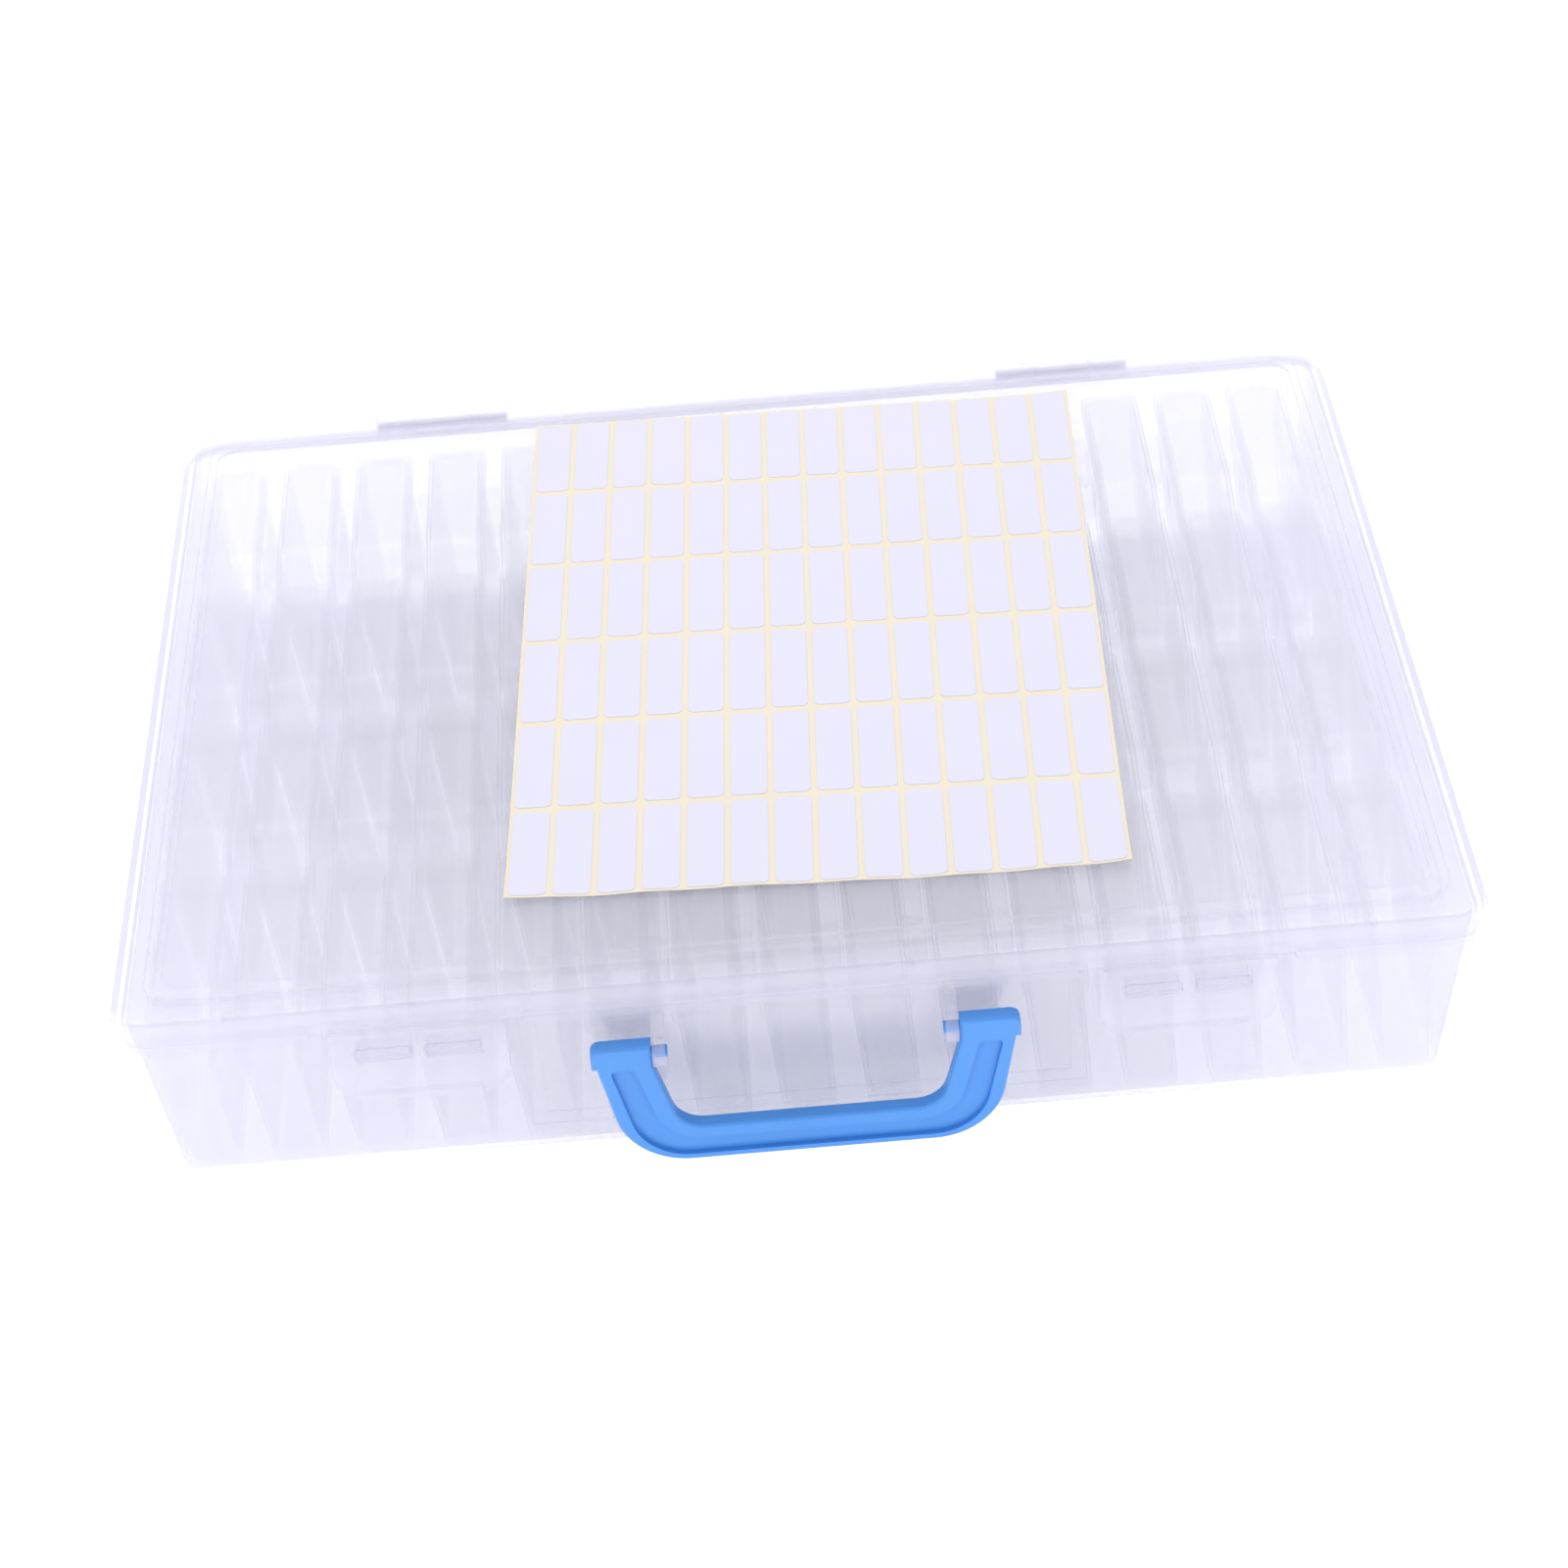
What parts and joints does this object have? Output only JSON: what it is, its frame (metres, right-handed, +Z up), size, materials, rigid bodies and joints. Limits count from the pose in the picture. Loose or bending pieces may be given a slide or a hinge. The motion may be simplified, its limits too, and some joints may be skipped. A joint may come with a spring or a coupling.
{
  "type": "bead storage box",
  "caption": "Clear hinged carrying case with a fold-down handle, two latch flaps, rows of slim flip-cap bead boxes inside and a sheet of blank labels on the lid.",
  "frame": {"origin": "on the table, under the middle of the tray", "axes": "+X to the right along the front, +Y from the front to the back, +Z up"},
  "size_m": [0.336, 0.282, 0.0611],
  "materials": {
    "case_plastic": "clear, slightly milky polypropylene, smooth",
    "latch_plastic": "clear, slightly milky polypropylene, smooth",
    "handle_plastic": "bright blue moulded plastic, satin",
    "pin_wire": "plain wire",
    "box_plastic": "clear plastic, smooth",
    "cap_plastic": "clear plastic, smooth",
    "backing_paper": "cream release paper, matt",
    "label_paper": "white sticker paper, matt"
  },
  "bodies": {
    "tray": {"base_tray": "case_plastic", "hinge_pin_left": "pin_wire", "hinge_pin_right": "pin_wire", "tub_front_01": "box_plastic", "tub_front_02": "box_plastic", "tub_front_03": "box_plastic", "tub_front_04": "box_plastic", "tub_front_05": "box_plastic", "tub_front_06": "box_plastic", "tub_front_07": "box_plastic", "tub_front_08": "box_plastic", "tub_front_09": "box_plastic", "tub_front_10": "box_plastic", "tub_front_11": "box_plastic", "tub_front_12": "box_plastic", "tub_front_13": "box_plastic", "tub_front_14": "box_plastic", "tub_front_15": "box_plastic", "tubs_row_2": "box_plastic", "tubs_row_3": "box_plastic", "tubs_row_4": "box_plastic"},
    "lid": {"lid": "case_plastic"},
    "latch_left": {"latch_left": "latch_plastic"},
    "latch_right": {"latch_right": "latch_plastic"},
    "handle": {"handle": "handle_plastic"},
    "label_sheet": {"label_backing": "backing_paper", "labels": "label_paper"},
    "cap_front_01": {"cap_front_01": "cap_plastic"},
    "cap_front_02": {"cap_front_02": "cap_plastic"},
    "cap_front_03": {"cap_front_03": "cap_plastic"},
    "cap_front_04": {"cap_front_04": "cap_plastic"},
    "cap_front_05": {"cap_front_05": "cap_plastic"},
    "cap_front_06": {"cap_front_06": "cap_plastic"},
    "cap_front_07": {"cap_front_07": "cap_plastic"},
    "cap_front_08": {"cap_front_08": "cap_plastic"},
    "cap_front_09": {"cap_front_09": "cap_plastic"},
    "cap_front_10": {"cap_front_10": "cap_plastic"},
    "cap_front_11": {"cap_front_11": "cap_plastic"},
    "cap_front_12": {"cap_front_12": "cap_plastic"},
    "cap_front_13": {"cap_front_13": "cap_plastic"},
    "cap_front_14": {"cap_front_14": "cap_plastic"},
    "cap_front_15": {"cap_front_15": "cap_plastic"},
    "caps_row_2": {"caps_row_2": "cap_plastic"},
    "caps_row_3": {"caps_row_3": "cap_plastic"},
    "caps_row_4": {"caps_row_4": "cap_plastic"}
  },
  "joints": [
    {"name": "lid_hinge", "type": "hinge", "parent": "tray", "child": "lid", "pos_m": [0, 0.137, 0.05215], "axis": [-1, 0, 0], "range_deg": [0, 110]},
    {"name": "latch_left_hinge", "type": "hinge", "parent": "lid", "child": "latch_left", "pos_m": [-0.0931, -0.1335, 0.0511], "axis": [-1, 0, 0], "range_deg": [0, 110]},
    {"name": "latch_right_hinge", "type": "hinge", "parent": "lid", "child": "latch_right", "pos_m": [0.0931, -0.1335, 0.0511], "axis": [-1, 0, 0], "range_deg": [0, 110]},
    {"name": "handle_swing", "type": "hinge", "parent": "tray", "child": "handle", "pos_m": [0, -0.138, 0.04165], "axis": [-1, 0, 0], "range_deg": [-6, 150]},
    {"name": "label_sheet_lift", "type": "slide", "parent": "lid", "child": "label_sheet", "axis": [0, 0, 1], "range_m": [0, 0.05]},
    {"name": "cap_hinge_front_01", "type": "hinge", "parent": "tray", "child": "cap_front_01", "pos_m": [-0.1521, -0.0641, 0.04885], "axis": [-1, 0, 0], "range_deg": [0, 100]},
    {"name": "cap_hinge_front_02", "type": "hinge", "parent": "tray", "child": "cap_front_02", "pos_m": [-0.1307, -0.0641, 0.04885], "axis": [-1, 0, 0], "range_deg": [0, 100]},
    {"name": "cap_hinge_front_03", "type": "hinge", "parent": "tray", "child": "cap_front_03", "pos_m": [-0.1093, -0.0641, 0.04885], "axis": [-1, 0, 0], "range_deg": [0, 100]},
    {"name": "cap_hinge_front_04", "type": "hinge", "parent": "tray", "child": "cap_front_04", "pos_m": [-0.0879, -0.0641, 0.04885], "axis": [-1, 0, 0], "range_deg": [0, 100]},
    {"name": "cap_hinge_front_05", "type": "hinge", "parent": "tray", "child": "cap_front_05", "pos_m": [-0.0665, -0.0641, 0.04885], "axis": [-1, 0, 0], "range_deg": [0, 100]},
    {"name": "cap_hinge_front_06", "type": "hinge", "parent": "tray", "child": "cap_front_06", "pos_m": [-0.0451, -0.0641, 0.04885], "axis": [-1, 0, 0], "range_deg": [0, 100]},
    {"name": "cap_hinge_front_07", "type": "hinge", "parent": "tray", "child": "cap_front_07", "pos_m": [-0.0237, -0.0641, 0.04885], "axis": [-1, 0, 0], "range_deg": [0, 100]},
    {"name": "cap_hinge_front_08", "type": "hinge", "parent": "tray", "child": "cap_front_08", "pos_m": [-0.0023, -0.0641, 0.04885], "axis": [-1, 0, 0], "range_deg": [0, 100]},
    {"name": "cap_hinge_front_09", "type": "hinge", "parent": "tray", "child": "cap_front_09", "pos_m": [0.0191, -0.0641, 0.04885], "axis": [-1, 0, 0], "range_deg": [0, 100]},
    {"name": "cap_hinge_front_10", "type": "hinge", "parent": "tray", "child": "cap_front_10", "pos_m": [0.0405, -0.0641, 0.04885], "axis": [-1, 0, 0], "range_deg": [0, 100]},
    {"name": "cap_hinge_front_11", "type": "hinge", "parent": "tray", "child": "cap_front_11", "pos_m": [0.0619, -0.0641, 0.04885], "axis": [-1, 0, 0], "range_deg": [0, 100]},
    {"name": "cap_hinge_front_12", "type": "hinge", "parent": "tray", "child": "cap_front_12", "pos_m": [0.0833, -0.0641, 0.04885], "axis": [-1, 0, 0], "range_deg": [0, 100]},
    {"name": "cap_hinge_front_13", "type": "hinge", "parent": "tray", "child": "cap_front_13", "pos_m": [0.1047, -0.0641, 0.04885], "axis": [-1, 0, 0], "range_deg": [0, 100]},
    {"name": "cap_hinge_front_14", "type": "hinge", "parent": "tray", "child": "cap_front_14", "pos_m": [0.1261, -0.0641, 0.04885], "axis": [-1, 0, 0], "range_deg": [0, 100]},
    {"name": "cap_hinge_front_15", "type": "hinge", "parent": "tray", "child": "cap_front_15", "pos_m": [0.1475, -0.0641, 0.04885], "axis": [-1, 0, 0], "range_deg": [0, 100]},
    {"name": "cap_hinge_row_2", "type": "hinge", "parent": "tray", "child": "caps_row_2", "pos_m": [-0.0023, -0.0007, 0.04885], "axis": [-1, 0, 0], "range_deg": [0, 100]},
    {"name": "cap_hinge_row_3", "type": "hinge", "parent": "tray", "child": "caps_row_3", "pos_m": [-0.0023, 0.0627, 0.04885], "axis": [-1, 0, 0], "range_deg": [0, 100]},
    {"name": "cap_hinge_row_4", "type": "hinge", "parent": "tray", "child": "caps_row_4", "pos_m": [-0.0023, 0.1261, 0.04885], "axis": [-1, 0, 0], "range_deg": [0, 100]}
  ],
  "couplings": [
    {"joint": "cap_hinge_front_01", "follows": "lid_hinge", "ratio": 0.9},
    {"joint": "cap_hinge_front_02", "follows": "lid_hinge", "ratio": 0.9},
    {"joint": "cap_hinge_front_03", "follows": "lid_hinge", "ratio": 0.9},
    {"joint": "cap_hinge_front_04", "follows": "lid_hinge", "ratio": 0.9},
    {"joint": "cap_hinge_front_05", "follows": "lid_hinge", "ratio": 0.9},
    {"joint": "cap_hinge_front_06", "follows": "lid_hinge", "ratio": 0.9},
    {"joint": "cap_hinge_front_07", "follows": "lid_hinge", "ratio": 0.9},
    {"joint": "cap_hinge_front_08", "follows": "lid_hinge", "ratio": 0.9},
    {"joint": "cap_hinge_front_09", "follows": "lid_hinge", "ratio": 0.9},
    {"joint": "cap_hinge_front_10", "follows": "lid_hinge", "ratio": 0.9},
    {"joint": "cap_hinge_front_11", "follows": "lid_hinge", "ratio": 0.9},
    {"joint": "cap_hinge_front_12", "follows": "lid_hinge", "ratio": 0.9},
    {"joint": "cap_hinge_front_13", "follows": "lid_hinge", "ratio": 0.9},
    {"joint": "cap_hinge_front_14", "follows": "lid_hinge", "ratio": 0.9},
    {"joint": "cap_hinge_front_15", "follows": "lid_hinge", "ratio": 0.9},
    {"joint": "cap_hinge_row_2", "follows": "lid_hinge", "ratio": 0.9},
    {"joint": "cap_hinge_row_3", "follows": "lid_hinge", "ratio": 0.9},
    {"joint": "cap_hinge_row_4", "follows": "lid_hinge", "ratio": 0.9}
  ]
}
